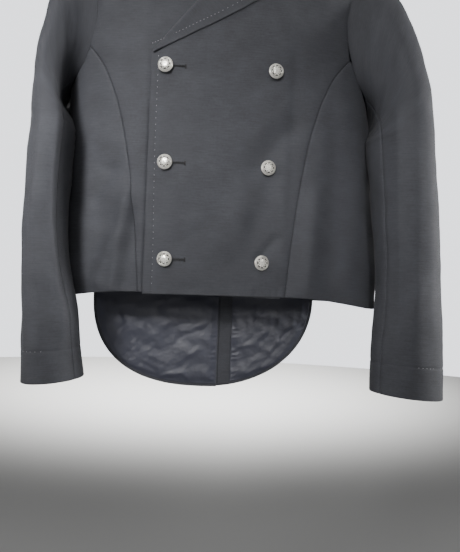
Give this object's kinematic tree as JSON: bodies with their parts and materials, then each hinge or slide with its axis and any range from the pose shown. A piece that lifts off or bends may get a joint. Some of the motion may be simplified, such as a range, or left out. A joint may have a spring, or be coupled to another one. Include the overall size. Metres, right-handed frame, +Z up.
{
  "type": "double-breasted tailcoat jacket",
  "caption": "Short double-breasted cloth jacket with peak lapels, domed metal buttons and a long rounded, vented tail, held in its hollow worn form.",
  "frame": {"origin": "middle of the neck opening, level with the points where the shoulder seams reach the neck", "axes": "+Z up, -Y out of the front, +X towards the wearer's left sleeve"},
  "size_m": [0.5648, 0.2094, 0.6979],
  "materials": {
    "cloth": "fine charcoal twill with a soft sheen",
    "lining": "blue-grey satin",
    "metal": "polished, with darkened relief"
  },
  "bodies": {
    "root": {"left_front": "cloth", "right_front": "cloth", "left_side_front": "cloth", "right_side_front": "cloth", "left_back": "cloth", "right_back": "cloth", "left_top_sleeve": "cloth", "left_under_sleeve": "cloth", "right_top_sleeve": "cloth", "right_under_sleeve": "cloth", "left_lapel": "cloth", "right_lapel": "cloth", "collar": "cloth", "vent_facing": "cloth", "left_tail_lining": "lining", "right_tail_lining": "lining", "button_left_1": "metal", "button_left_2": "metal", "button_left_3": "metal", "button_right_1": "metal", "button_right_2": "metal", "button_right_3": "metal"}
  },
  "joints": []
}
